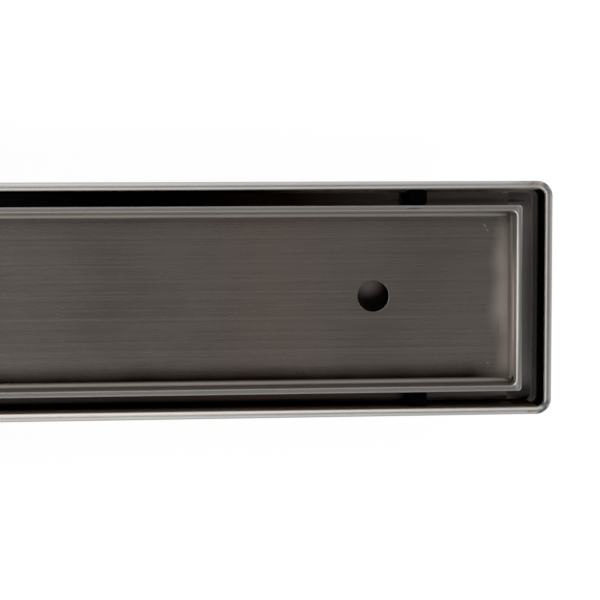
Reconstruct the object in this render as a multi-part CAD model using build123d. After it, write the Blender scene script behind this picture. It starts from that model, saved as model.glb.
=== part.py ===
from build123d import *

import os

# Driving dimensions, in millimetres

# Channel, measured over its folded rim
CHANNEL_LENGTH = 600.0
CHANNEL_WIDTH = 100.0
CHANNEL_DEPTH = 21.0
CHANNEL_SHEET = 1.5
CHANNEL_BEND = 1.0
CHANNEL_RIM_CORNER = 6.5
CHANNEL_HEM_GAP = 0.3
CHANNEL_HEM_DROP = 9.0
CHANNEL_HEM_CROWN = 0.2
END_CAP_LENGTH = 14.75

# Tile tray and the slots around it
SIDE_SLOT = 6.9
END_SLOT = 9.65
TRAY_RECESS = 10.0
TRAY_SHEET = 1.2
TRAY_BEND = 1.7
TRAY_CORNER_EASE = 0.1
TRAY_RIM_CORNER = 1.5
TRAY_HEM_GAP = 0.2
TRAY_HEM_DROP = 6.0
TRAY_HEM_CROWN = 1.0
LIFT_HOLE_DIAMETER = 13.6
LIFT_HOLE_FROM_END = 62.85

# Rubber spacer feet
FOOT_LENGTH = 7.5
FOOT_FROM_END = 44.25
FOOT_SEAT = 6.0
FOOT_BELOW_RIM = 4.0
FOOT_EDGE = 1.0
FOOT_CLEARANCE = 0.3

# Outlet spigot under the channel floor
SPIGOT_DIAMETER = 50.0
SPIGOT_WALL = 1.5
SPIGOT_LENGTH = 40.0
SPIGOT_LEAD_IN = 1.0
SPIGOT_CLEARANCE = 0.1
WELD_LEG = 2.5

# Height of the cutters that pierce a sheet, half above and half below its lower face
HOLE_CUTTER = 12.0

# Derived places: the outlet's lower end stands on z = 0, on its axis

CHANNEL_RIM = 2 * CHANNEL_SHEET + CHANNEL_HEM_GAP
CHANNEL_INNER_CORNER = CHANNEL_RIM_CORNER - CHANNEL_RIM
CHANNEL_BASE = SPIGOT_LENGTH
CHANNEL_FLOOR = CHANNEL_BASE + CHANNEL_SHEET
RIM_TOP = CHANNEL_BASE + CHANNEL_DEPTH

TRAY_LENGTH = CHANNEL_LENGTH - 2 * (CHANNEL_RIM + END_SLOT)
TRAY_WIDTH = CHANNEL_WIDTH - 2 * (CHANNEL_RIM + SIDE_SLOT)
TRAY_DEPTH = TRAY_RECESS + TRAY_SHEET
TRAY_INNER_CORNER = TRAY_BEND + TRAY_CORNER_EASE
TRAY_BASE = RIM_TOP - TRAY_DEPTH

END_CAP_SEAM = CHANNEL_LENGTH / 2 - END_CAP_LENGTH
LIFT_HOLE_X = TRAY_LENGTH / 2 - LIFT_HOLE_FROM_END
FOOT_X = TRAY_LENGTH / 2 - FOOT_FROM_END


def rounded_block(length, width, height, corner, bend):
    """Block standing on z = 0 with rounded upright edges and a rounded lower edge."""
    block = extrude(RectangleRounded(length, width, corner), height)
    lower_edges = block.faces().sort_by(Axis.Z)[0].edges()
    return fillet(lower_edges, bend)


def hemmed_pan(
    length, width, depth, sheet, bend, inner_corner, rim_corner, hem_gap, hem_drop, crown
):
    """Folded sheet pan on z = 0 whose wall tops are folded over outwards into a double rim.

    The crown is the flat left along the top of the fold.
    """
    folded_leg = sheet + hem_gap
    rim = sheet + folded_leg
    wall_length = length - 2 * folded_leg
    wall_width = width - 2 * folded_leg
    wall_corner = inner_corner + sheet

    shell = rounded_block(wall_length, wall_width, depth, wall_corner, bend + sheet)
    pocket = rounded_block(length - 2 * rim, width - 2 * rim, depth, inner_corner, bend)

    # The folded leg hangs outside the wall with a narrow slit between them
    hem = extrude(RectangleRounded(length, width, rim_corner), hem_drop)
    slit_outline = RectangleRounded(
        wall_length + 2 * hem_gap, wall_width + 2 * hem_gap, wall_corner + hem_gap
    )
    leg = hem - extrude(slit_outline, hem_drop - sheet)

    pan = shell + Pos(Z=depth - hem_drop) * leg - Pos(Z=sheet) * pocket
    crown_edges = pan.faces().sort_by(Axis.Z)[-1].edges()
    return fillet(crown_edges, (rim - crown) / 2)


def channel_pan():
    """Whole channel before it is divided at the end cap seams."""
    pan = hemmed_pan(
        CHANNEL_LENGTH,
        CHANNEL_WIDTH,
        CHANNEL_DEPTH,
        CHANNEL_SHEET,
        CHANNEL_BEND,
        CHANNEL_INNER_CORNER,
        CHANNEL_RIM_CORNER,
        CHANNEL_HEM_GAP,
        CHANNEL_HEM_DROP,
        CHANNEL_HEM_CROWN,
    )
    return Pos(Z=CHANNEL_BASE) * pan


def channel_trough(pan):
    """Straight folded trough between the seams, with the outlet hole in its floor."""
    seam_right = Plane.YZ.offset(END_CAP_SEAM)
    seam_left = Plane.YZ.offset(-END_CAP_SEAM)
    trough = split(pan, bisect_by=seam_right, keep=Keep.BOTTOM)
    trough = split(trough, bisect_by=seam_left, keep=Keep.TOP)
    outlet_hole = Cylinder(SPIGOT_DIAMETER / 2 + SPIGOT_CLEARANCE, HOLE_CUTTER)
    return trough - Pos(Z=CHANNEL_BASE) * outlet_hole


def end_cap(pan, side):
    """Welded end with the rounded rim corners; side is 1 at +X and -1 at -X."""
    seam = Plane.YZ.offset(side * END_CAP_SEAM)
    return split(pan, bisect_by=seam, keep=Keep.TOP if side > 0 else Keep.BOTTOM)


def outlet_spigot():
    """Round outlet tube, flush with the channel floor, with its weld under the floor."""
    outer = SPIGOT_DIAMETER / 2
    inner = outer - SPIGOT_WALL
    with BuildSketch(Plane.XZ) as section:
        with BuildLine():
            Polyline(
                (inner, 0),
                (outer - SPIGOT_LEAD_IN, 0),
                (outer, SPIGOT_LEAD_IN),
                (outer, CHANNEL_BASE - WELD_LEG),
                (outer + WELD_LEG, CHANNEL_BASE),
                (outer, CHANNEL_BASE),
                (outer, CHANNEL_FLOOR),
                (inner, CHANNEL_FLOOR),
                close=True,
            )
        make_face()
    return revolve(section.sketch, Axis.Z)


def tile_tray():
    """Hemmed tray, level with the channel rim, with a lift hole near each end."""
    pan = hemmed_pan(
        TRAY_LENGTH,
        TRAY_WIDTH,
        TRAY_DEPTH,
        TRAY_SHEET,
        TRAY_BEND,
        TRAY_INNER_CORNER,
        TRAY_RIM_CORNER,
        TRAY_HEM_GAP,
        TRAY_HEM_DROP,
        TRAY_HEM_CROWN,
    )
    tray = Pos(Z=TRAY_BASE) * pan
    lift_hole = Cylinder(LIFT_HOLE_DIAMETER / 2, HOLE_CUTTER)
    for x in (LIFT_HOLE_X, -LIFT_HOLE_X):
        tray -= Pos(x, 0, TRAY_BASE) * lift_hole
    return tray


def spacer_foot():
    """Rubber foot at x = 0 on the +Y side: a seat under the tray and a nose that fills the slot."""
    tray_side = TRAY_WIDTH / 2
    tray_flat = tray_side - TRAY_SHEET - TRAY_HEM_GAP - TRAY_SHEET - TRAY_BEND
    seat_end = tray_flat - FOOT_SEAT
    nose_inner = tray_side + FOOT_CLEARANCE
    nose_outer = CHANNEL_WIDTH / 2 - CHANNEL_RIM - FOOT_CLEARANCE
    nose_top = RIM_TOP - FOOT_BELOW_RIM
    with BuildSketch(Plane.YZ) as section:
        with BuildLine():
            Polyline(
                (seat_end, CHANNEL_FLOOR),
                (nose_outer, CHANNEL_FLOOR),
                (nose_outer, nose_top),
                (nose_inner, nose_top),
                (nose_inner, TRAY_BASE),
                (seat_end, TRAY_BASE),
                close=True,
            )
        make_face()
        heel = section.vertices().group_by(Axis.X)[-1].sort_by(Axis.Y)[0]
        chamfer(heel, CHANNEL_BEND + FOOT_CLEARANCE)
    foot = extrude(section.sketch, FOOT_LENGTH / 2, both=True)
    upright_edges = foot.edges().filter_by(Axis.Z)
    return chamfer(upright_edges, FOOT_EDGE)


def build_nodes():
    """Every piece of the drain in place, by node name."""
    pan = channel_pan()
    nodes = {
        "channel_trough": channel_trough(pan),
        "end_cap_right": end_cap(pan, 1),
        "end_cap_left": end_cap(pan, -1),
        "outlet_spigot": outlet_spigot(),
        "tile_tray": tile_tray(),
    }
    foot = spacer_foot()
    for place, x in (("left", -FOOT_X), ("middle", 0), ("right", FOOT_X)):
        nodes[f"spacer_foot_{place}_back"] = Pos(X=x) * foot
        nodes[f"spacer_foot_{place}_front"] = Pos(X=x) * mirror(foot, about=Plane.XZ)
    return nodes


os.makedirs("parts", exist_ok=True)
for name, shape in build_nodes().items():
    export_step(shape, f"parts/{name}.step")
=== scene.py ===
"""Looks of a linear shower drain with a tile tray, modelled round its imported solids."""

import math

import bmesh
import bpy
from bpy.props import FloatProperty, FloatVectorProperty, PointerProperty
from bpy.types import Operator, Panel, PropertyGroup
from mathutils import Matrix, Vector


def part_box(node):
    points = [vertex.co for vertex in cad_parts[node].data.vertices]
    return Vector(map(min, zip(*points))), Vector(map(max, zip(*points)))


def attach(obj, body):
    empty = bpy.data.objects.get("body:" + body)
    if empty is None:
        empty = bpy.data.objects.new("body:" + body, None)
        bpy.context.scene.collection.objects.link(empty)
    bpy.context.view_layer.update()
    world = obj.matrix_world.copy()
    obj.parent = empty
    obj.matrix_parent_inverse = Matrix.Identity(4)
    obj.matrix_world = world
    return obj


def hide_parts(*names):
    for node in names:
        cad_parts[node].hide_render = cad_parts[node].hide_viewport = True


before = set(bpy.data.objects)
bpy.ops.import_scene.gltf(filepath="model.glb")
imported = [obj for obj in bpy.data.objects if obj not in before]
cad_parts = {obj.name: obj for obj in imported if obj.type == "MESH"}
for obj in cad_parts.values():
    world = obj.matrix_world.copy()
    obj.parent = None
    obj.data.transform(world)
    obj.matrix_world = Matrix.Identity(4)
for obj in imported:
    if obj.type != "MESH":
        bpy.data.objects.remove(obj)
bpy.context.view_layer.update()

bl_info = {
    "name": "Linear Shower Drain",
    "version": (1, 0, 0),
    "blender": (4, 5, 0),
    "location": "View3D > Sidebar > Drain",
    "description": "Folded steel channel, tile tray, spacer feet and outlet of a linear shower drain",
    "category": "Add Mesh",
}

MM = 0.001

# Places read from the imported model
TROUGH_LOW, TROUGH_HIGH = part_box("channel_trough")
CAP_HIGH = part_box("end_cap_right")[1]
TRAY_LOW, TRAY_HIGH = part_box("tile_tray")
SPIGOT_LOW, SPIGOT_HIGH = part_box("outlet_spigot")
FOOT_NAMES = sorted(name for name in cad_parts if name.startswith("spacer_foot"))

# Directions that a sheet is brushed in, tilted a little so that no face points straight along one
BRUSHED_ALONG_X = (1.0, 0.02, 0.01)
BRUSHED_ALONG_Y = (0.02, 1.0, 0.01)

# How near two places are when they count as the same, in metres
LEVEL_NEARNESS = 1e-5
NEARNESS = 1e-6
CUT_NEARNESS = 1e-7

# Steps in the round shapes
CORNER_STEPS = 6
BEND_STEPS = 6
LIP_STEPS = 2
HOLE_STEPS = 64
TUBE_STEPS = 288
FOOT_UPRIGHT_STEPS = 4
FOOT_EDGE_STEPS = 3

# Angle from which an edge of a foot is rounded
FOOT_SHARP_DEGREES = 50

# Slopes by which a face is told to be level, part of an end or an underside
LEVEL_SLOPE = 0.99
END_SLOPE = 0.3
UNDER_SLOPE = -0.5

# Shares of the tray's bend that belong to its end walls and its long walls, and the height they start at
END_WALL_SHARE = 0.2
LONG_WALL_SHARE = 0.9
END_WALL_START = 0.01 * MM

# Folds: rounding of the lip in sheets, lengths that half a fold is cut into, and its depth in rims
LIP_ROUNDING = 0.12
HEM_LENGTHS = 8
HEM_REACH = 1.2

# Rounding of the edges of the outlet hole
OUTLET_EDGE = 0.1 * MM

# Weld under the channel floor: how far each point stands out and down, in weld sizes
WELD_BULGE = ((0.42, 0.80), (0.80, 0.42), (0.96, 0.0))
WELD_WAVES = 36.0

# Where the ripples and the finish of the weld begin outside the tube, in weld sizes
RIPPLE_START = 0.1
WELD_START = 0.05

# Pale floor: half its size in metres, and its own white and the share of it that is seen
FLOOR_HALF = 3.0
FLOOR_WHITE = 1.14
FLOOR_WHITE_SHARE = 0.75

# Room: each pair gives the two directions, as parts of a unit vector, between which the light changes
OPENING_LEFT = (-0.86, -0.62)
OPENING_RIGHT = (0.34, 0.54)
OPENING_SIDE = (0.24, 0.40)
OPENING_FAR = (-0.24, -0.14)
OPENING_NEAR = (-0.06, 0.30)
ROOM_WALLS = (-0.45, 0.55)
ROOM_WALL_LEVELS = (1.35, 0.62)
GLOW_MIDDLE = 0.028
GLOW_LENGTH = (0.02, 0.045)
GLOW_SIDE = (0.1, 0.2)
WHITE = (1.0, 1.0, 1.0, 1.0)

# Noise in the steel and the rubber, in cells per metre
FINE_LINES = 2600.0
DASHES = 1700.0
CLOUDS = 24.0
SPECKS = 700.0
SMEARS = 60.0
PATCHES = 420.0
DENTS = 260.0
END_WANDER = 38.0
# Cells of the ragged edge of the painted shade along folds
CREASE_SHADE_EDGE = 45.0
RUBBER_GRAIN = 1800.0
RUBBER_DUST = 160.0

# Part of the noise's range that most of its values lie in
MOST = (0.3, 0.7)

# How much darker, lighter and rougher lines, clouds, specks and marks of wear and of painted light are, and
# the brown of the painted shade along folds
LINE_DARK = 0.09
LINE_LIGHT = 0.08
CLOUD_SHADE = 0.95
SPECK_SHADE = 1.35
SPECK_SHARE = 0.35
LINE_ROUGHNESS = 0.02
MARK_ROUGHNESS = 0.15
CREASE_SHADE_BROWN = (0.10, 0.06, 0.035, 1.0)

# Heights of the relief
LINE_DEPTH = 0.02 * MM
LINE_STRENGTH = 0.10
RUBBER_DEPTH = 0.05 * MM
RUBBER_STRENGTH = 0.3


def length(name, description, millimetres):
    """Length property whose default is given in millimetres."""
    return FloatProperty(
        name=name,
        description=description,
        default=millimetres * MM,
        min=0.0,
        precision=5,
        unit="LENGTH",
    )


def colour(name, description, default):
    """Linear colour property."""
    return FloatVectorProperty(
        name=name,
        description=description,
        default=default,
        min=0.0,
        max=1.0,
        size=3,
        subtype="COLOR",
    )


def factor(name, description, default):
    """Plain number property from 0 upwards."""
    return FloatProperty(name=name, description=description, default=default, min=0.0)


class DrainChannelSizes(PropertyGroup):
    """Sheet sizes of the channel."""

    sheet: length("Sheet", "Thickness of the channel sheet", 1.5)
    bend: length("Bend", "Inside radius between the floor and the walls", 1.0)
    inner_corner: length("Inner corner", "Radius of the corners inside the rim", 3.2)
    rim_corner: length("Rim corner", "Radius of the corners outside the rim", 6.5)
    hem_gap: length("Hem gap", "Slit between the wall and its folded leg", 0.3)
    hem_drop: length("Hem drop", "Height of the folded leg", 9.0)
    crown: length("Crown", "Flat left along the top of the fold", 0.2)
    hem_opening: length("Hem opening", "How far the long folds stand open at mid length", 0.55)
    hem_curl: length("Hem curl", "Height below the rim from which the wall leans in", 6.0)
    outlet_hole: length("Outlet hole", "Diameter of the hole in the channel floor", 50.2)


class DrainTraySizes(PropertyGroup):
    """Sheet sizes of the tile tray."""

    sheet: length("Sheet", "Thickness of the tray sheet", 1.2)
    bend: length("Bend", "Inside radius between the floor and the walls", 2.3)
    inner_corner: length("Inner corner", "Radius of the corners inside the rim", 2.4)
    rim_corner: length("Rim corner", "Radius of the corners outside the rim", 1.5)
    hem_gap: length("Hem gap", "Slit between the wall and its folded leg", 0.2)
    hem_drop: length("Hem drop", "Height of the folded leg", 6.0)
    crown: length("Crown", "Flat left along the top of the fold", 1.0)
    end_bend: factor("End bend", "Share of the bend radius left at the two ends", 0.15)
    lift_hole: length("Lift hole", "Diameter of a lift hole", 13.6)
    lift_hole_from_end: length("Lift hole place", "Distance of a lift hole from the tray end", 62.85)
    lift_hole_offset: length("Lift hole offset", "Distance of a lift hole from the middle line", 1.0)
    hole_edge: length("Hole edge", "Rounding of the lift hole edges", 0.12)


class DrainFootSizes(PropertyGroup):
    """Sizes of a rubber spacer foot."""

    clearance: length("Clearance", "Room between the nose and the tray rim", 0.3)
    heel: length("Heel", "Chamfer over the bend of the channel", 1.3)
    upright_edge: length("Upright edges", "Rounding of the upright edges", 1.0)
    other_edge: length("Other edges", "Rounding of the other edges", 0.4)


class DrainOutletSizes(PropertyGroup):
    """Sizes of the outlet under the channel."""

    wall: length("Wall", "Thickness of the tube", 1.5)
    lead_in: length("Lead-in", "Chamfer at the lower end", 1.0)
    weld_leg: length("Weld leg", "Size of the weld under the channel floor", 2.5)
    ripple: length("Weld ripple", "Depth of the ripples along the weld", 0.18)


class DrainFinish(PropertyGroup):
    """Colours of the steel and the rubber."""

    floor_steel: colour("Tray floor", "Brushed steel of the tray floor", (0.322, 0.285, 0.258))
    tray_rim_steel: colour("Tray rim", "Ground steel of the tray rim", (0.30, 0.287, 0.272))
    rim_steel: colour("Channel rim", "Ground steel of the channel rim", (0.50, 0.485, 0.465))
    # Painted shade: the tray's long walls are a darker copy of the tray floor steel, to tame their
    # highlights
    shaded_tray_wall_steel: colour("Tray walls", "Steel of the long walls inside the tray", (0.215, 0.193, 0.172))
    tray_end_steel: colour("Tray ends", "Steel of the end walls inside the tray", (0.36, 0.326, 0.295))
    inside_steel: colour("Channel floor", "Mill steel of the channel floor", (0.36, 0.31, 0.285))
    # Painted shade: near-black steel standing in for the shaded walls inside the channel and the tray's
    # outer legs
    shaded_wall_steel: colour("Channel walls", "Mill steel of the walls inside the channel", (0.038, 0.023, 0.013))
    cap_steel: colour("End floors", "Ground steel of the floor at the welded ends", (0.64, 0.595, 0.575))
    outside_steel: colour("Outside", "Steel of the outer and under sides", (0.50, 0.49, 0.475))
    rubber: colour("Rubber", "Black rubber of the spacer feet", (0.0008, 0.0008, 0.0009))


class DrainStageLook(PropertyGroup):
    """Floor, surroundings and camera."""

    floor_colour: colour("Floor", "Pale floor", (0.9, 0.9, 0.9))
    surroundings: factor("Surroundings", "Brightness of the pale walls of the studio", 1.1)
    overhead: factor("Overhead", "Brightness of the dim opening over the drain", 0.012)
    overhead_end: factor("Overhead end", "Brightness of the opening towards the drain's end", 0.09)
    overhead_far: factor("Overhead far", "Brightness of the opening towards the far end", 0.10)
    glow: colour("Glow", "Faint warm light straight above", (0.125, 0.04, 0.01))
    lens: FloatProperty(name="Lens", description="Focal length", default=63.84, unit="CAMERA")
    camera_place: FloatVectorProperty(
        name="Camera place",
        description="Where the camera stands",
        default=(0.1669, 0.0272, 0.5079),
        subtype="TRANSLATION",
        unit="LENGTH",
    )
    camera_turn: FloatVectorProperty(
        name="Camera turn",
        description="How the camera is turned",
        default=tuple(math.radians(angle) for angle in (-3.426, -3.222, -0.358)),
        subtype="EULER",
        unit="ROTATION",
    )


# Mesh helpers


def ring(bm, half_x, half_y, z, corner, steps):
    """Edges of a rectangle with rounded corners at height z."""
    corners = [bm.verts.new((x, y, z)) for x, y in (
        (half_x, half_y), (-half_x, half_y), (-half_x, -half_y), (half_x, -half_y)
    )]
    for start, end in zip(corners, corners[1:] + corners[:1]):
        bm.edges.new((start, end))
    rounded = bmesh.ops.bevel(
        bm,
        geom=corners,
        affect="VERTICES",
        offset=corner,
        segments=steps,
        profile=0.5,
        material=-1,
    )
    return list({edge for vert in rounded["verts"] for edge in vert.link_edges})


def round_edges(bm, edges, radius, steps):
    """Rounds edges to a radius."""
    bmesh.ops.bevel(
        bm,
        geom=edges,
        affect="EDGES",
        offset=radius,
        segments=steps,
        profile=0.5,
        material=-1,
    )


def hemmed_pan(bm, half_x, half_y, base, top, size):
    """Closed sheet pan whose wall tops are folded over outwards into a double rim."""
    leg = size.sheet + size.hem_gap
    rim = size.sheet + leg
    wall_corner = size.inner_corner + size.sheet
    lip = top - size.hem_drop
    roof = top - size.sheet
    outlines = (
        (rim, base + size.sheet, size.inner_corner),
        (rim, top, size.inner_corner),
        (0.0, top, size.rim_corner),
        (0.0, lip, size.rim_corner),
        (size.sheet, lip, wall_corner + size.hem_gap),
        (size.sheet, roof, wall_corner + size.hem_gap),
        (leg, roof, wall_corner),
        (leg, base, wall_corner),
    )
    # The outlines are bridged one above the other, then slid to their own heights
    rings = [
        ring(bm, half_x - inset, half_y - inset, step * size.sheet, corner, CORNER_STEPS)
        for step, (inset, z, corner) in enumerate(outlines)
    ]
    for lower, upper in zip(rings, rings[1:]):
        bmesh.ops.bridge_loops(bm, edges=lower + upper)
    for step, (edges, (inset, z, corner)) in enumerate(zip(rings, outlines)):
        verts = list({vert for edge in edges for vert in edge.verts})
        bmesh.ops.translate(bm, verts=verts, vec=(0.0, 0.0, z - step * size.sheet))
    bmesh.ops.contextual_create(bm, geom=rings[0])
    bmesh.ops.contextual_create(bm, geom=rings[-1])
    round_edges(bm, rings[1] + rings[2], (rim - size.crown) / 2, BEND_STEPS)
    round_edges(bm, rings[3] + rings[4], LIP_ROUNDING * size.sheet, LIP_STEPS)
    round_edges(bm, rings[0], size.bend, BEND_STEPS)
    round_edges(bm, rings[-1], size.bend + size.sheet, BEND_STEPS)
    bmesh.ops.recalc_face_normals(bm, faces=bm.faces)


def flat_face(bm, z):
    """Largest level face at height z."""
    level = [face for face in bm.faces if abs(face.calc_center_median().z - z) < LEVEL_NEARNESS]
    return max(level, key=lambda face: face.calc_area())


def pierce(bm, floor, base, places, radius, rounding):
    """Round holes through the sheet between two heights, with slightly rounded edges."""
    faces = [flat_face(bm, floor), flat_face(bm, base)]
    rims = [list(face.edges) for face in faces]
    bmesh.ops.delete(bm, geom=faces, context="FACES_ONLY")
    for x, y in places:
        section = [
            bm.verts.new((x + radius + rounding, y, floor)),
            bm.verts.new((x + radius, y, floor - rounding)),
            bm.verts.new((x + radius, y, base + rounding)),
            bm.verts.new((x + radius + rounding, y, base)),
        ]
        wall = [bm.edges.new(pair) for pair in zip(section, section[1:])]
        bmesh.ops.spin(
            bm,
            geom=section + wall,
            cent=(x, y, 0.0),
            axis=(0.0, 0.0, 1.0),
            angle=math.tau,
            steps=HOLE_STEPS,
            use_merge=True,
        )
        for z, rim in ((floor, rims[0]), (base, rims[1])):
            rim.extend(
                edge for edge in bm.edges
                if edge.is_boundary and edge not in rim
                and all(abs(vert.co.z - z) < NEARNESS for vert in edge.verts)
                and all((vert.co.xy - Vector((x, y))).length < 2 * radius for vert in edge.verts)
            )
    for rim, normal in zip(rims, ((0.0, 0.0, 1.0), (0.0, 0.0, -1.0))):
        bmesh.ops.triangle_fill(bm, edges=rim, use_beauty=True, normal=normal)
    bmesh.ops.recalc_face_normals(bm, faces=bm.faces)


def cut_across(bm, x):
    """Cuts every face at a place along the channel."""
    bmesh.ops.bisect_plane(
        bm,
        geom=bm.verts[:] + bm.edges[:] + bm.faces[:],
        dist=CUT_NEARNESS,
        plane_co=(x, 0.0, 0.0),
        plane_no=(1.0, 0.0, 0.0),
    )


def keep_side(bm, x, side):
    """Cuts the mesh at a seam, keeps one side of it and closes the cut."""
    cut = bmesh.ops.bisect_plane(
        bm,
        geom=bm.verts[:] + bm.edges[:] + bm.faces[:],
        dist=CUT_NEARNESS,
        plane_co=(x, 0.0, 0.0),
        plane_no=(side, 0.0, 0.0),
        clear_inner=True,
    )
    edges = [item for item in cut["geom_cut"] if isinstance(item, bmesh.types.BMEdge)]
    bmesh.ops.holes_fill(bm, edges=edges)


def open_hems(bm, half_y, top, seam, size):
    """Lets the long folds stand a little open between the welded ends."""
    for step in range(1 - HEM_LENGTHS, HEM_LENGTHS):
        cut_across(bm, step * seam / HEM_LENGTHS)
    rim = 2 * size.sheet + size.hem_gap
    slit = half_y - size.sheet - size.hem_gap / 2
    for vert in bm.verts:
        reach = abs(vert.co.y)
        rise = (vert.co.z - top + size.hem_curl) / size.hem_curl
        if reach < half_y - HEM_REACH * rim or rise <= 0.0:
            continue
        if vert.co.z > top - size.sheet + NEARNESS:
            share = (half_y - reach) / rim
        else:
            share = 1.0 if reach < slit else 0.0
        lean = rise * rise * (3.0 - 2.0 * rise)
        along = 1.0 - (vert.co.x / seam) ** 2
        vert.co.y -= math.copysign(size.hem_opening * share * lean * along, vert.co.y)


def tighten_end_bends(bm, half_x, floor, size):
    """Draws the bends at the two ends in to a tight inside corner."""
    wall = half_x - 2 * size.sheet - size.hem_gap
    for side in (1, -1):
        verts = [
            vert for vert in bm.verts
            if wall - size.bend - NEARNESS < side * vert.co.x < wall + NEARNESS
            and floor - NEARNESS < vert.co.z < floor + size.bend + NEARNESS
        ]
        bmesh.ops.scale(
            bm,
            vec=(size.end_bend, 1.0, size.end_bend),
            space=Matrix.Translation((-side * wall, 0.0, -floor)),
            verts=verts,
        )


def make_piece(name, bm, materials, node, crease=40):
    """Turns a finished mesh into a piece that stands for a CAD node; crease in degrees."""
    mesh = bpy.data.meshes.new(name)
    bm.to_mesh(mesh)
    bm.free()
    mesh.shade_smooth()
    mesh.set_sharp_from_angle(angle=math.radians(crease))
    for material in materials:
        mesh.materials.append(material)
    piece = bpy.data.objects.new(name, mesh)
    bpy.context.scene.collection.objects.link(piece)
    even = piece.modifiers.new("Even normals", "WEIGHTED_NORMAL")
    even.keep_sharp = True
    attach(piece, "root")
    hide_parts(node)
    return piece


# Materials


class NodeSheet:
    """Short ways to lay out the nodes of one material or world."""

    def __init__(self, tree):
        self.tree = tree
        tree.nodes.clear()

    def add(self, kind, inputs=None, **settings):
        """Adds a node, sets its own settings, and links or sets its inputs."""
        node = self.tree.nodes.new("ShaderNode" + kind)
        for key, value in settings.items():
            setattr(node, key, value)
        for key, value in (inputs or {}).items():
            self.feed(node.inputs[key], value)
        return node

    def feed(self, socket, value):
        """Links or sets one input."""
        if isinstance(value, bpy.types.NodeSocket):
            self.tree.links.new(value, socket)
        else:
            socket.default_value = value

    def mix(self, amount, first, second):
        """Colour between two colours."""
        node = self.add("Mix", data_type="RGBA")
        for key, value in ((0, amount), (6, first), (7, second)):
            self.feed(node.inputs[key], value)
        return node.outputs[2]

    def scale(self, shade, share):
        """Colour multiplied by a number."""
        return self.add("VectorMath", {0: shade, 3: share}, operation="SCALE").outputs[0]

    def math(self, operation, first, second=0.0):
        """Result of one sum."""
        return self.add("Math", {0: first, 1: second}, operation=operation).outputs[0]

    def stretch(self, value, low, high, to_low=0.0, to_high=1.0, smooth=False):
        """Value mapped from one range to another."""
        node = self.add("MapRange", {0: value, 1: low, 2: high, 3: to_low, 4: to_high})
        node.interpolation_type = "SMOOTHSTEP" if smooth else "LINEAR"
        return node.outputs[0]

    def noise(self, coordinates, scale, detail=3.0, stretch=(1.0, 1.0, 1.0)):
        """Noise of so many cells per metre, stretched along the axes."""
        placed = self.add("Mapping", {"Vector": coordinates, "Scale": stretch})
        return self.add(
            "TexNoise", {"Vector": placed.outputs[0], "Scale": scale, "Detail": detail, "Roughness": 0.6}
        ).outputs[0]

    def spot(self, coordinates, centre, halves, turn=0.0, solid=0.2):
        """Mask of a soft-edged spot, 1 inside; sizes in millimetres, turn about z in degrees."""
        local = self.add(
            "Mapping",
            {
                "Vector": coordinates,
                "Location": [part * MM for part in centre],
                "Rotation": (0.0, 0.0, math.radians(turn)),
                "Scale": [part * MM for part in halves],
            },
            vector_type="TEXTURE",
        )
        reach = self.add("VectorMath", {0: local.outputs[0]}, operation="LENGTH").outputs["Value"]
        return self.stretch(reach, solid, 1.0, 1.0, 0.0, smooth=True)


def opaque(rgb, level=1.0):
    """Colour with alpha, scaled by a level."""
    return (*(level * part for part in rgb), 1.0)


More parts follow.
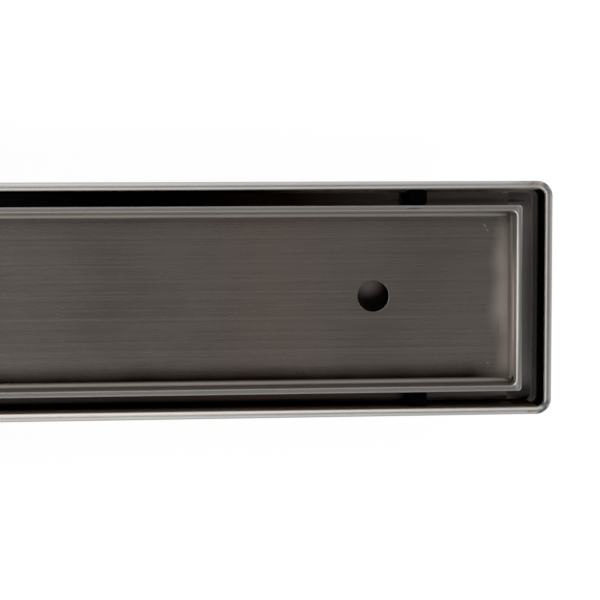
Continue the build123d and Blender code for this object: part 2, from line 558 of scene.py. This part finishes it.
def brushed_steel(
    name, rgb, roughness, anisotropy, metallic=1.0, specular=0.5, along_x=True, grain=1.0, wave=0.0,
    ends=None, painted_shade_fade=None, rise=None, crease_shade=None, marks=(), tints=(), even=0.0,
):
    """Brushed stainless steel with grain, clouding, worn places, tints and painted light and shade; places
    in millimetres.

    ends: two places along x between which the grain turns across, how much rougher it grows there and how
    many times lighter it is made there as painted light, and how strongly that change bows out towards the
    sides.
    fade: painted shade, darker deep inside the channel: two places along x between which the steel gains
    its full tone, and the share it has before.
    rise: painted shade by height: two heights and the share of the tone at each.
    stain: painted shade, a brown-dark strip on a floor along a fold by a wall: where it is full and where
    it ends across, and where it dies away along x.
    marks: centre, half sizes, turn and shade of each worn place, painted highlight and painted shade.
    tints: the same with a colour, for heat tints and for painted light; even, from 0 to 1, is how little
    they break up into patches.
    """
    material = bpy.data.materials.new(name)
    material.use_nodes = True
    sheet = NodeSheet(material.node_tree)
    place = sheet.add("TexCoord").outputs["Object"]
    normal = sheet.add("NewGeometry").outputs["Normal"]
    x, y, z = sheet.add("SeparateXYZ", {0: place}).outputs
    distance = sheet.math("ABSOLUTE", x)

    def lines_along(long, short):
        fine = sheet.noise(place, FINE_LINES, 2.0, long)
        dashes = sheet.noise(place, DASHES, 1.0, short)
        return sheet.math("ADD", sheet.math("MULTIPLY", fine, 0.7), sheet.math("MULTIPLY", dashes, 0.3))

    # Grain
    long_way = ((0.0006, 1.0, 1.0), (0.015, 1.0, 1.0), BRUSHED_ALONG_X)
    cross_way = ((1.0, 0.0006, 1.0), (1.0, 0.015, 1.0), BRUSHED_ALONG_Y)
    long, short, brush = long_way if along_x else cross_way
    lines = lines_along(long, short)
    across = sheet.add("VectorMath", {0: normal, 1: brush}, operation="CROSS_PRODUCT").outputs[0]
    cloud = sheet.noise(place, CLOUDS, 4.0)
    if ends:
        begin, full, rougher, painted_light_times, bow = ends
        wander = sheet.stretch(sheet.noise(place, END_WANDER, 2.0), *MOST, -2.0 * MM, 2.0 * MM)
        bowed = sheet.math("MULTIPLY", sheet.math("MULTIPLY", y, y), bow / MM)
        reach = sheet.math("SUBTRACT", sheet.math("ADD", distance, wander), bowed)
        beyond = sheet.stretch(reach, begin * MM, full * MM, smooth=True)
        lines = sheet.add("Mix", {0: beyond, 2: lines, 3: lines_along(*cross_way[:2])}).outputs[0]

    # Tone
    streak = sheet.stretch(lines, *MOST)
    tone = sheet.mix(streak, opaque(rgb, 1.0 - LINE_DARK * grain), opaque(rgb, 1.0 + LINE_LIGHT * grain))
    shade = sheet.mix(sheet.stretch(cloud, 0.35, 0.7), tone, opaque(rgb, CLOUD_SHADE))
    speck = sheet.stretch(sheet.noise(place, SPECKS, 2.0), 0.66, 0.74)
    smear = sheet.math("MULTIPLY", speck, sheet.stretch(sheet.noise(place, SMEARS, 2.0), 0.5, 0.7))
    shade = sheet.mix(sheet.math("MULTIPLY", smear, SPECK_SHARE * grain), shade, opaque(rgb, SPECK_SHADE))
    # Painted shade: darker away from the ends, where little light reaches into the slots
    if painted_shade_fade:
        begin, full, share_before = painted_shade_fade
        shade = sheet.scale(shade, sheet.stretch(distance, begin * MM, full * MM, share_before, 1.0))
    # Painted shade by height: the walls darker low in the slots, the end walls near black above their foot
    if rise:
        low, high, low_share, high_share = rise
        shade = sheet.scale(shade, sheet.stretch(z, low * MM, high * MM, low_share, high_share))
    gloss = sheet.math(
        "ADD",
        sheet.stretch(lines, *MOST, roughness - LINE_ROUGHNESS, roughness + LINE_ROUGHNESS),
        sheet.stretch(cloud, 0.3, 0.75, -0.012, 0.02),
    )
    if ends:
        gloss = sheet.math("ADD", gloss, sheet.math("MULTIPLY", beyond, rougher))
        # Painted light: the steel towards the ends made lighter, standing in for the reflection of the end
        # walls
        shade = sheet.scale(shade, sheet.stretch(beyond, 0.0, 1.0, 1.0, painted_light_times))

    # Worn places, painted light and shade, the painted shade along folds, and tints
    for centre, halves, turn, level in marks:
        mask = sheet.spot(place, centre, halves, turn)
        shade = sheet.mix(mask, shade, opaque(rgb, level))
        gloss = sheet.math("ADD", gloss, sheet.math("MULTIPLY", mask, MARK_ROUGHNESS))
    # Painted shade: a brown-dark strip along a floor by a fold, where the wall shades the floor and darkens
    # its reflection
    if crease_shade:
        full, clear, whole_to, gone_from = (part * MM for part in crease_shade)
        ragged = sheet.stretch(sheet.noise(place, CREASE_SHADE_EDGE, 3.0), *MOST, -0.6 * MM, 0.6 * MM)
        crease_dark = sheet.math("SUBTRACT", 1.0, sheet.stretch(sheet.math("ADD", y, ragged), full, clear))
        crease_dark = sheet.math("MULTIPLY", crease_dark, sheet.stretch(x, whole_to, gone_from, 1.0, 0.0))
        crease_dark = sheet.math("MULTIPLY", crease_dark, sheet.stretch(y, full - 1.0 * MM, full))
        crease_tone = sheet.mix(crease_dark, WHITE, CREASE_SHADE_BROWN)
        shade = sheet.add("VectorMath", {0: shade, 1: crease_tone}, operation="MULTIPLY").outputs[0]
    for centre, halves, turn, tint in tints:
        patchy = sheet.stretch(sheet.noise(place, PATCHES, 3.0), 0.35, 0.6, even, 1.0)
        mask = sheet.math("MULTIPLY", sheet.spot(place, centre, halves, turn, 0.5), patchy)
        shade = sheet.mix(mask, shade, opaque(tint))

    # Relief
    bump = sheet.add("Bump", {"Strength": LINE_STRENGTH * grain, "Distance": LINE_DEPTH, "Height": lines})
    if wave:
        dents = sheet.noise(place, DENTS, 2.0, (0.10, 1.0, 1.0))
        bump = sheet.add(
            "Bump",
            {"Strength": 1.0, "Distance": wave * MM, "Height": dents, "Normal": bump.outputs[0]},
        )
    steel = sheet.add(
        "BsdfPrincipled",
        {
            "Base Color": shade,
            "Metallic": metallic,
            "Specular IOR Level": specular,
            "Roughness": gloss,
            "Anisotropic": anisotropy,
            "Tangent": across,
            "Normal": bump.outputs[0],
        },
    )
    sheet.add("OutputMaterial", {"Surface": steel.outputs[0]})
    return material


def black_rubber(name, rgb):
    """Matt moulded rubber with a fine grain."""
    material = bpy.data.materials.new(name)
    material.use_nodes = True
    sheet = NodeSheet(material.node_tree)
    place = sheet.add("TexCoord").outputs["Object"]
    speck = sheet.noise(place, RUBBER_GRAIN, 2.0)
    dust = sheet.noise(place, RUBBER_DUST, 4.0)
    shade = sheet.mix(sheet.stretch(dust, 0.45, 0.8), opaque(rgb), opaque(rgb, 2.2))
    bump = sheet.add("Bump", {"Strength": RUBBER_STRENGTH, "Distance": RUBBER_DEPTH, "Height": speck})
    rubber = sheet.add(
        "BsdfPrincipled",
        {
            "Base Color": shade,
            "Roughness": sheet.stretch(dust, 0.2, 0.8, 0.7, 0.85),
            "Specular IOR Level": 0.02,
            "Normal": bump.outputs[0],
        },
    )
    sheet.add("OutputMaterial", {"Surface": rubber.outputs[0]})
    return material


def at_both_ends(*marks):
    """Marks with the same ones at the other end of the drain, half a turn round."""
    return marks + tuple(((-x, -y, z), *rest) for (x, y, z), *rest in marks)


# Worn places and places of painted light and shade, in millimetres: centre, half sizes, turn and shade
TRAY_WEAR_AND_SHADE = (
    # Plain tone at the foot of the end walls, cutting back the painted light of the ends there
    *at_both_ends(((283.9, 0.0, 51.0), (1.7, 70.0, 1.2), 0.0, 1.0)),
    ((92.45, 30.55, 51.0), (0.7, 0.6, 2.0), 0.0, 0.45),
    ((278.86, -13.4, 51.0), (0.35, 6.5, 2.0), 0.0, 0.55),
    # Painted shadow in the back inner corner at the end
    ((283.6, 34.5, 52.5), (2.4, 4.0, 3.5), 0.0, 0.45),
    # Painted shade: black pit in the folded front corner
    ((284.3, -36.1, 53.8), (2.5, 2.6, 3.6), 20.0, 0.02),
    ((272.9, 31.2, 51.0), (1.2, 0.35, 1.0), -55.0, 1.7),
    ((274.0, 29.0, 51.0), (0.8, 0.3, 1.0), -40.0, 1.5),
    ((274.5, -28.9, 51.0), (1.0, 0.3, 1.0), -45.0, 1.45),
)
# The tray's worn places and painted shade, and painted light along its back long wall
TRAY_WALL_WEAR_AND_LIGHT = TRAY_WEAR_AND_SHADE + (((150.0, 37.3, 56.0), (600.0, 1.0, 9.0), 0.0, 1.7),)
# Painted light and shade on the tray's end walls: darker at the back, a light and a dark streak, a darker
# foot and a black pit in the front corner
TRAY_END_PAINTED_LIGHT = (
    ((284.45, 32.0, 56.5), (3.0, 30.0, 8.0), 0.0, 0.42),
    ((284.45, -12.0, 55.1), (1.5, 36.0, 1.1), 0.0, 1.75),
    ((284.45, -4.0, 57.7), (1.5, 40.0, 0.9), 0.0, 0.65),
    ((284.45, 0.0, 50.7), (1.5, 46.0, 1.4), 0.0, 0.5),
    ((284.45, -35.3, 54.8), (2.0, 2.5, 3.2), 0.0, 0.02),
)
TRAY_RIM_WEAR_AND_LIGHT = (
    ((240.3, 38.46, 61.0), (4.6, 0.45, 1.0), 0.0, 0.45),
    # Painted highlight at the inner front corner of the rim
    ((284.5, -37.1, 60.2), (1.2, 1.2, 1.2), 0.0, 2.0),
    # Painted highlight along the inner edge of the end rims, painted shade on their outer part and a
    # painted shadow line at their outer edge
    *at_both_ends(
        ((284.9, 0.0, 60.9), (0.8, 60.0, 1.3), 0.0, 1.7),
        ((286.5, 0.0, 60.3), (1.1, 60.0, 1.6), 0.0, 0.3),
        ((287.3, 0.0, 60.0), (0.7, 60.0, 2.5), 0.0, 0.12),
    ),
)
CHANNEL_FLOOR_PAINTED_LIGHT = (
    # Painted shade: dark disc on the channel floor under the lift hole
    ((225.0, -1.0, 41.5), (13.0, 13.0, 3.0), 0.0, 0.05),
    # Painted light: pale patch under the lift hole, where light comes through it
    ((222.5, 8.5, 41.5), (10.5, 10.0, 3.0), 0.0, 1.0),
    # Painted light: lighter strips along the slot floors
    ((170.0, -43.2, 41.5), (300.0, 2.6, 3.0), 0.0, 1.15),
    ((268.0, -43.0, 41.5), (34.0, 2.4, 3.0), 0.0, 1.6),
    ((-200.0, 43.2, 41.5), (250.0, 2.6, 3.0), 0.0, 1.3),
    # Painted shadow: darker strip on the floor beside the tray's back edge
    ((260.0, 42.4, 41.5), (70.0, 1.7, 3.0), 0.0, 0.5),
)
# Painted shade on the floors at the welded ends: darker by the end walls, along the back slot, in the
# tray's shadow and by the front wall
END_FLOOR_PAINTED_SHADE = (
    *at_both_ends(
        ((296.0, 0.0, 41.5), (4.5, 60.0, 3.0), 0.0, 0.45),
        ((284.0, 46.0, 41.5), (22.0, 9.0, 3.0), 0.0, 0.35),
    ),
    ((286.0, 42.2, 41.5), (10.0, 1.0, 2.0), 0.0, 0.18),
    *at_both_ends(((290.0, -43.0, 41.5), (13.0, 5.0, 3.0), 0.0, 0.38)),
    ((293.0, -46.4, 41.5), (16.0, 3.4, 3.0), 10.0, 0.02),
)
# Painted light and shade on the channel walls: lighter along the top of the front wall and near the ends,
# darker by the seams
WALL_PAINTED_LIGHT = (
    ((0.0, -46.7, 59.5), (420.0, 3.0, 14.0), 0.0, 4.6),
    *at_both_ends(
        ((285.25, -46.7, 50.0), (16.0, 3.0, 14.0), 0.0, 0.5),
        ((290.0, -46.7, 60.0), (24.0, 3.0, 10.0), 0.0, 2.0),
    ),
)
# Painted highlights on the inner flanks of the long rims, and painted shade on the front rim's outer flank
RIM_PAINTED_LIGHT = (
    ((60.0, -47.5, 60.8), (420.0, 1.1, 1.3), 0.0, 1.75),
    ((30.0, 48.6, 61.0), (250.0, 0.9, 1.2), 0.0, 1.3),
    ((100.0, -49.8, 60.0), (500.0, 0.9, 1.5), 0.0, 0.78),
)

# Tinted places in millimetres, heat tints and painted light: centre, half sizes, turn and colour
WELD_TINTS = (
    *at_both_ends(
        ((285.25, 0.0, 50.0), (2.2, 90.0, 40.0), 0.0, (0.40, 0.35, 0.27)),
        ((285.25, 0.0, 50.0), (0.7, 90.0, 40.0), 0.0, (0.26, 0.25, 0.25)),
    ),
    ((0.0, 0.0, 40.0), (36.0, 36.0, 6.0), 0.0, (0.42, 0.34, 0.22)),
)
# Painted light: paler grey on the back walls inside the channel towards the ends
WALL_PAINTED_LIGHT_TINTS = at_both_ends(((255.0, 46.4, 50.0), (90.0, 3.0, 24.0), 0.0, (0.40, 0.35, 0.33)))
CAP_TINTS = (
    *at_both_ends(((292.0, 48.0, 60.6), (6.0, 1.6, 2.0), -4.0, (0.42, 0.36, 0.27))),
    ((290.0, 49.1, 60.2), (10.0, 1.2, 2.0), 0.0, (0.27, 0.26, 0.245)),
    ((297.7, 46.7, 59.8), (6.0, 2.0, 2.5), -48.0, (0.19, 0.175, 0.16)),
    ((296.9, -46.5, 59.8), (6.5, 2.1, 2.5), 48.0, (0.085, 0.08, 0.075)),
    ((290.5, -48.6, 60.0), (5.0, 0.9, 2.0), 2.0, (0.25, 0.22, 0.19)),
    ((-297.2, -46.6, 59.6), (5.0, 2.2, 2.5), -48.0, (0.17, 0.15, 0.13)),
    ((-297.4, 46.6, 59.6), (5.5, 2.0, 2.5), 50.0, (0.13, 0.12, 0.11)),
)


# Operators


class DRAIN_OT_channel(Operator):
    """Folded channel: the long trough and its two welded ends"""

    bl_idname = "drain.channel"
    bl_label = "Channel"

    def execute(self, context):
        size = context.scene.drain_channel
        finish = context.scene.drain_finish
        rim_steel = finish.rim_steel
        rim_long = brushed_steel(
            "rim_long_steel",
            rim_steel,
            roughness=0.36,
            anisotropy=0.4,
            grain=1.4,
            wave=0.06,
            ends=(190.0, 288.0, 0.10, 1.0, 0.0),
            marks=RIM_PAINTED_LIGHT,
            tints=CAP_TINTS,
        )
        rim_end = brushed_steel(
            "rim_end_steel",
            rim_steel,
            roughness=0.40,
            anisotropy=0.4,
            along_x=False,
            wave=0.04,
            tints=CAP_TINTS,
        )
        floor_long = brushed_steel(
            "floor_long_steel",
            finish.inside_steel,
            roughness=0.14,
            anisotropy=0.5,
            # painted shade: the floor darkened away from the ends
            painted_shade_fade=(190.0, 262.0, 0.07),
            # painted shade along the floor by the front wall
            crease_shade=(-46.4, -44.6, 300.0, 340.0),
            marks=CHANNEL_FLOOR_PAINTED_LIGHT,
        )
        floor_end = brushed_steel(
            "floor_end_steel",
            finish.cap_steel,
            roughness=0.42,
            anisotropy=0.4,
            along_x=False,
            marks=END_FLOOR_PAINTED_SHADE,
        )
        # Painted shade: the channel walls near black and hardly reflecting, standing in for their shade
        walls = brushed_steel(
            "channel_wall_shade",
            finish.shaded_wall_steel,
            roughness=0.20,
            anisotropy=0.3,
            metallic=0.05,
            specular=0.02,
            # painted shade: the walls darkened away from the ends
            painted_shade_fade=(200.0, 290.0, 0.6),
            # painted shade: darker towards the bottom of the walls
            rise=(50.0, 59.0, 0.05, 1.0),
            marks=WALL_PAINTED_LIGHT,
            tints=WALL_PAINTED_LIGHT_TINTS,
            even=0.8,
        )
        # Painted shade: the same near-black walls at the welded ends, with no reflection at all
        cap_walls = brushed_steel(
            "cap_wall_shade",
            finish.shaded_wall_steel,
            roughness=0.20,
            anisotropy=0.3,
            metallic=0.0,
            specular=0.0,
            # painted shade: darker towards the bottom of the walls
            rise=(50.0, 59.0, 0.05, 1.0),
            marks=WALL_PAINTED_LIGHT,
            tints=WALL_PAINTED_LIGHT_TINTS,
            even=0.8,
        )
        # Painted shade: the end walls inside the channel hardly reflect and go near black above their foot,
        # standing in for their shade
        end_walls = brushed_steel(
            "end_wall_steel",
            finish.cap_steel,
            roughness=0.30,
            anisotropy=0.3,
            metallic=0.04,
            specular=0.0,
            along_x=False,
            # painted shade: near black above the foot of the end wall
            rise=(46.5, 49.5, 0.34, 0.002),
        )
        outside = brushed_steel(
            "outside_steel",
            finish.outside_steel,
            roughness=0.34,
            anisotropy=0.3,
            tints=WELD_TINTS,
        )
        half_x = CAP_HIGH.x
        half_y = TROUGH_HIGH.y
        seam = TROUGH_HIGH.x
        rim = 2 * size.sheet + size.hem_gap
        floor = TROUGH_LOW.z + size.sheet
        # Places of the finishes in each piece's list
        on_rim, on_end_rim, on_floor, on_side, on_end, on_outside = range(6)
        for name, side in (("channel_trough", 0), ("end_cap_right", 1), ("end_cap_left", -1)):
            is_trough = name == "channel_trough"
            bm = bmesh.new()
            hemmed_pan(bm, half_x, half_y, TROUGH_LOW.z, TROUGH_HIGH.z, size)
            if is_trough:
                pierce(bm, floor, TROUGH_LOW.z, ((0.0, 0.0),), size.outlet_hole / 2, OUTLET_EDGE)
                keep_side(bm, seam, -1)
                keep_side(bm, -seam, 1)
            else:
                keep_side(bm, side * seam, side)
            bm.normal_update()
            for face in bm.faces:
                centre = face.calc_center_median()
                inner = max(abs(centre.x) - half_x + rim, abs(centre.y) - half_y + rim) < NEARNESS
                top = centre.z > TROUGH_HIGH.z - rim / 2
                at_end = not is_trough and abs(centre.x) > half_x - rim
                if top:
                    face.material_index = on_end_rim if at_end else on_rim
                elif inner and centre.z > TROUGH_LOW.z + size.sheet / 2:
                    level = face.normal.z > LEVEL_SLOPE
                    ending = not is_trough and abs(face.normal.x) > END_SLOPE
                    face.material_index = on_floor if level else on_end if ending else on_side
                else:
                    face.material_index = on_outside
            if is_trough:
                open_hems(bm, half_y, TROUGH_HIGH.z, seam, size)
            bottom, sides = (floor_long, walls) if is_trough else (floor_end, cap_walls)
            finishes = (rim_long, rim_end, bottom, sides, end_walls, outside)
            make_piece(name + "_sheet", bm, finishes, name, crease=20)
        return {"FINISHED"}


class DRAIN_OT_tile_tray(Operator):
    """Removable tray that takes a tile, with a lift hole near each end"""

    bl_idname = "drain.tile_tray"
    bl_label = "Tile tray"

    def execute(self, context):
        size = context.scene.drain_tray
        finish = context.scene.drain_finish
        half_x = TRAY_HIGH.x
        half_y = TRAY_HIGH.y
        rim = 2 * size.sheet + size.hem_gap
        floor = TRAY_LOW.z + size.sheet
        hole_x = half_x - size.lift_hole_from_end
        floor_steel = brushed_steel(
            "tray_floor_steel",
            finish.floor_steel,
            roughness=0.27,
            anisotropy=0.75,
            # painted reflection: the floor made lighter towards the end walls
            ends=(273.2, 284.4, 0.17, 1.78, 0.0041),
            # painted shade: a brown-dark strip along the floor by the front fold
            crease_shade=(-34.6, -27.2, 268.0, 280.0),
            marks=TRAY_WEAR_AND_SHADE,
        )
        # Painted shade: darker copy of the tray steel on its long walls
        walls = brushed_steel(
            "shaded_tray_wall_steel",
            finish.shaded_tray_wall_steel,
            roughness=0.35,
            anisotropy=0.5,
            marks=TRAY_WALL_WEAR_AND_LIGHT,
        )
        end_walls = brushed_steel(
            "tray_end_wall_steel",
            finish.tray_end_steel,
            roughness=0.44,
            anisotropy=0.75,
            along_x=False,
            marks=TRAY_END_PAINTED_LIGHT,
        )
        rim_long = brushed_steel(
            "tray_rim_long_steel",
            finish.tray_rim_steel,
            roughness=0.46,
            anisotropy=0.4,
            marks=TRAY_RIM_WEAR_AND_LIGHT,
        )
        rim_end = brushed_steel(
            "tray_rim_end_steel",
            finish.rim_steel,
            roughness=0.36,
            anisotropy=0.4,
            along_x=False,
            marks=TRAY_RIM_WEAR_AND_LIGHT,
        )
        outside = brushed_steel(
            "tray_outside_steel",
            finish.outside_steel,
            roughness=0.34,
            anisotropy=0.3,
        )
        # Painted shade: the tray's outer legs in the slots take the near-black wall colour
        legs = brushed_steel(
            "tray_leg_shade",
            finish.shaded_wall_steel,
            roughness=0.2,
            anisotropy=0.3,
        )
        bm = bmesh.new()
        hemmed_pan(bm, half_x, half_y, TRAY_LOW.z, TRAY_HIGH.z, size)
        places = ((hole_x, size.lift_hole_offset), (-hole_x, -size.lift_hole_offset))
        pierce(bm, floor, TRAY_LOW.z, places, size.lift_hole / 2, size.hole_edge)
        tighten_end_bends(bm, half_x, floor, size)
        bm.normal_update()
        # Places of the finishes in the piece's list
        on_floor, on_rim, on_end_rim, on_side, on_under, on_leg, on_end = range(7)
        for face in bm.faces:
            centre = face.calc_center_median()
            inner = max(abs(centre.x) - half_x + rim, abs(centre.y) - half_y + rim) < NEARNESS
            top = centre.z > TRAY_HIGH.z - rim / 2
            if top:
                at_end = abs(centre.x) > half_x - rim - size.inner_corner / 2
                face.material_index = on_end_rim if at_end else on_rim
            elif inner and centre.z > TRAY_LOW.z + size.sheet / 2:
                raised = centre.z > floor + END_WALL_START
                ending = raised and abs(centre.x) > half_x - rim - END_WALL_SHARE * size.bend
                beside = abs(centre.y) > half_y - rim - LONG_WALL_SHARE * size.bend
                face.material_index = on_side if beside else on_end if ending else on_floor
            else:
                face.material_index = on_under if face.normal.z < UNDER_SLOPE else on_leg
        finishes = (floor_steel, rim_long, rim_end, walls, outside, legs, end_walls)
        make_piece("tile_tray_sheet", bm, finishes, "tile_tray")
        return {"FINISHED"}


class DRAIN_OT_spacer_feet(Operator):
    """Black rubber feet between the tray and the channel"""

    bl_idname = "drain.spacer_feet"
    bl_label = "Spacer feet"

    def execute(self, context):
        size = context.scene.drain_feet
        rubber = black_rubber("foot_rubber", context.scene.drain_finish.rubber)
        nose = TRAY_HIGH.y + size.clearance
        sharp_angle = math.radians(FOOT_SHARP_DEGREES)
        for name in FOOT_NAMES:
            low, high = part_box(name)
            side = 1.0 if high.y > 0.0 else -1.0
            seat, outer = sorted((abs(low.y), abs(high.y)))
            bm = bmesh.new()
            section = [bm.verts.new((low.x, side * y, z)) for y, z in (
                (seat, low.z),
                (outer - size.heel, low.z),
                (outer, low.z + size.heel),
                (outer, high.z),
                (nose, high.z),
                (nose, TRAY_LOW.z),
                (seat, TRAY_LOW.z),
            )]
            outline = [bm.edges.new(pair) for pair in zip(section, section[1:] + section[:1])]
            face = bmesh.ops.contextual_create(bm, geom=outline)["faces"]
            grown = bmesh.ops.extrude_face_region(bm, geom=face)["geom"]
            verts = [item for item in grown if isinstance(item, bmesh.types.BMVert)]
            bmesh.ops.translate(bm, verts=verts, vec=(high.x - low.x, 0.0, 0.0))
            bmesh.ops.recalc_face_normals(bm, faces=bm.faces)
            upright = [edge for edge in bm.edges if abs(edge.verts[0].co.z - edge.verts[1].co.z) > MM]
            round_edges(bm, upright, size.upright_edge, FOOT_UPRIGHT_STEPS)
            sharp = [edge for edge in bm.edges if edge.calc_face_angle() > sharp_angle]
            round_edges(bm, sharp, size.other_edge, FOOT_EDGE_STEPS)
            make_piece(name + "_pad", bm, (rubber,), name)
        return {"FINISHED"}


class DRAIN_OT_outlet(Operator):
    """Round outlet tube with its weld under the channel floor"""

    bl_idname = "drain.outlet"
    bl_label = "Outlet"

    def execute(self, context):
        size = context.scene.drain_outlet
        finish = context.scene.drain_finish
        tube_steel = brushed_steel(
            "outlet_steel",
            finish.outside_steel,
            roughness=0.32,
            anisotropy=0.2,
            tints=WELD_TINTS,
        )
        weld_steel = brushed_steel(
            "weld_steel",
            finish.rim_steel,
            roughness=0.30,
            anisotropy=0.0,
            grain=0.5,
            tints=WELD_TINTS,
        )
        base = TROUGH_LOW.z
        outer = SPIGOT_HIGH.x - size.weld_leg
        inner = outer - size.wall
        bead = size.weld_leg
        bm = bmesh.new()
        section = [bm.verts.new((x, 0.0, z)) for x, z in (
            (inner, SPIGOT_LOW.z),
            (outer - size.lead_in, SPIGOT_LOW.z),
            (outer, SPIGOT_LOW.z + size.lead_in),
            (outer, base - bead),
            *((outer + out * bead, base - down * bead) for out, down in WELD_BULGE),
            (outer, base),
            (outer, SPIGOT_HIGH.z),
            (inner, SPIGOT_HIGH.z),
        )]
        edges = [bm.edges.new(pair) for pair in zip(section, section[1:] + section[:1])]
        bmesh.ops.spin(
            bm,
            geom=section + edges,
            cent=(0.0, 0.0, 0.0),
            axis=(0.0, 0.0, 1.0),
            angle=math.tau,
            steps=TUBE_STEPS,
            use_merge=True,
        )
        bmesh.ops.recalc_face_normals(bm, faces=bm.faces)
        for vert in bm.verts:
            radius = vert.co.xy.length
            if radius > outer + RIPPLE_START * bead:
                angle = math.atan2(vert.co.y, vert.co.x)
                inward = 1.0 - size.ripple * abs(math.sin(WELD_WAVES * angle)) / radius
                vert.co.x *= inward
                vert.co.y *= inward
        on_tube, on_weld = range(2)
        for face in bm.faces:
            radius = face.calc_center_median().xy.length
            face.material_index = on_weld if radius > outer + WELD_START * bead else on_tube
        make_piece("outlet_spigot_tube", bm, (tube_steel, weld_steel), "outlet_spigot")
        return {"FINISHED"}


class DRAIN_OT_stage(Operator):
    """Pale floor, soft light and the camera"""

    bl_idname = "drain.stage"
    bl_label = "Stage"

    def execute(self, context):
        look = context.scene.drain_stage
        self.lay_floor(look)
        self.light_room(context, look)
        self.place_camera(context, look)
        context.scene.view_settings.view_transform = "Standard"
        return {"FINISHED"}

    def lay_floor(self, look):
        """Pale floor under the drain, part paint and part white of its own."""
        bm = bmesh.new()
        bmesh.ops.create_grid(bm, x_segments=1, y_segments=1, size=FLOOR_HALF)
        mesh = bpy.data.meshes.new("floor")
        bm.to_mesh(mesh)
        bm.free()
        material = bpy.data.materials.new("pale_floor")
        material.use_nodes = True
        sheet = NodeSheet(material.node_tree)
        paint = sheet.add("BsdfDiffuse", {"Color": opaque(look.floor_colour)})
        white = sheet.add("Emission", {"Color": WHITE, "Strength": FLOOR_WHITE})
        path = sheet.add("LightPath").outputs
        seen = sheet.math("ADD", path["Is Camera Ray"], path["Is Glossy Ray"])
        seen = sheet.math("MINIMUM", sheet.math("ADD", seen, path["Is Transmission Ray"]), 1.0)
        share = sheet.math("MULTIPLY", seen, FLOOR_WHITE_SHARE)
        both = sheet.add("MixShader", {0: share, 1: paint.outputs[0], 2: white.outputs[0]})
        sheet.add("OutputMaterial", {"Surface": both.outputs[0]})
        mesh.materials.append(material)
        floor = bpy.data.objects.new("floor", mesh)
        bpy.context.scene.collection.objects.link(floor)

    def light_room(self, context, look):
        """Pale room with a dim opening over the drain and a faint warm glow in it."""
        world = bpy.data.worlds.new("studio")
        world.use_nodes = True
        context.scene.world = world
        sheet = NodeSheet(world.node_tree)
        way = sheet.add("TexCoord").outputs["Generated"]
        x, across, up = sheet.add("SeparateXYZ", {0: way}).outputs
        y = sheet.math("ABSOLUTE", across)
        above = sheet.math("GREATER_THAN", up, 0.0)
        dim_left = sheet.stretch(x, *OPENING_LEFT, smooth=True)
        dim_right = sheet.stretch(x, *OPENING_RIGHT, 1.0, 0.0, smooth=True)
        dim_y = sheet.stretch(y, *OPENING_SIDE, 1.0, 0.0, smooth=True)
        dim = sheet.math("MULTIPLY", sheet.math("MULTIPLY", dim_left, dim_right), dim_y)
        dim = sheet.math("MULTIPLY", dim, above)
        walls = sheet.stretch(x, *ROOM_WALLS, *(level * look.surroundings for level in ROOM_WALL_LEVELS))
        far = sheet.stretch(x, *OPENING_FAR, look.overhead_far, 0.0, smooth=True)
        over = sheet.stretch(x, *OPENING_NEAR, look.overhead, look.overhead_end)
        level = sheet.add("Mix", {0: dim, 2: walls, 3: sheet.math("ADD", far, over)}).outputs[0]
        off_middle = sheet.math("ABSOLUTE", sheet.math("SUBTRACT", x, GLOW_MIDDLE))
        near = sheet.stretch(off_middle, *GLOW_LENGTH, 1.0, 0.0)
        near = sheet.math("MULTIPLY", near, sheet.stretch(y, *GLOW_SIDE, 1.0, 0.0))
        near = sheet.math("MULTIPLY", near, above)
        tone = sheet.scale(look.glow, near)
        light = sheet.add("VectorMath", {0: tone, 1: level}, operation="ADD").outputs[0]
        path = sheet.add("LightPath")
        room = sheet.add("Background", {"Color": light, "Strength": 1.0})
        white = sheet.add("Background", {"Color": WHITE, "Strength": 1.0})
        both = sheet.add(
            "MixShader", {0: path.outputs["Is Camera Ray"], 1: room.outputs[0], 2: white.outputs[0]}
        )
        sheet.add("OutputWorld", {"Surface": both.outputs[0]})

    def place_camera(self, context, look):
        """Camera above the right-hand end."""
        lens = bpy.data.cameras.new("camera")
        lens.lens = look.lens
        camera = bpy.data.objects.new("camera", lens)
        camera.location = look.camera_place
        camera.rotation_euler = look.camera_turn
        context.scene.collection.objects.link(camera)
        context.scene.camera = camera


class DRAIN_PT_pieces(Panel):
    """Lists the pieces of the drain and their sizes"""

    bl_idname = "DRAIN_PT_pieces"
    bl_label = "Linear Shower Drain"
    bl_space_type = "VIEW_3D"
    bl_region_type = "UI"
    bl_category = "Drain"

    def draw(self, context):
        layout = self.layout
        for operator in OPERATORS:
            layout.operator(operator.bl_idname)
        for attribute, group in GROUPS.items():
            box = layout.box()
            for key in group.__annotations__:
                box.prop(getattr(context.scene, attribute), key)


OPERATORS = (
    DRAIN_OT_channel,
    DRAIN_OT_tile_tray,
    DRAIN_OT_spacer_feet,
    DRAIN_OT_outlet,
    DRAIN_OT_stage,
)
GROUPS = {
    "drain_channel": DrainChannelSizes,
    "drain_tray": DrainTraySizes,
    "drain_feet": DrainFootSizes,
    "drain_outlet": DrainOutletSizes,
    "drain_finish": DrainFinish,
    "drain_stage": DrainStageLook,
}
CLASSES = (*GROUPS.values(), *OPERATORS, DRAIN_PT_pieces)


def register():
    """Registers the classes and hangs the sizes on the scene."""
    for item in CLASSES:
        bpy.utils.register_class(item)
    for attribute, group in GROUPS.items():
        setattr(bpy.types.Scene, attribute, PointerProperty(type=group))


def unregister():
    """Takes the sizes and the classes away again."""
    for attribute in GROUPS:
        delattr(bpy.types.Scene, attribute)
    for item in reversed(CLASSES):
        bpy.utils.unregister_class(item)


def main():
    """Builds every piece."""
    register()
    bpy.ops.drain.channel()
    bpy.ops.drain.tile_tray()
    bpy.ops.drain.spacer_feet()
    bpy.ops.drain.outlet()
    bpy.ops.drain.stage()


if __name__ == "__main__":
    main()
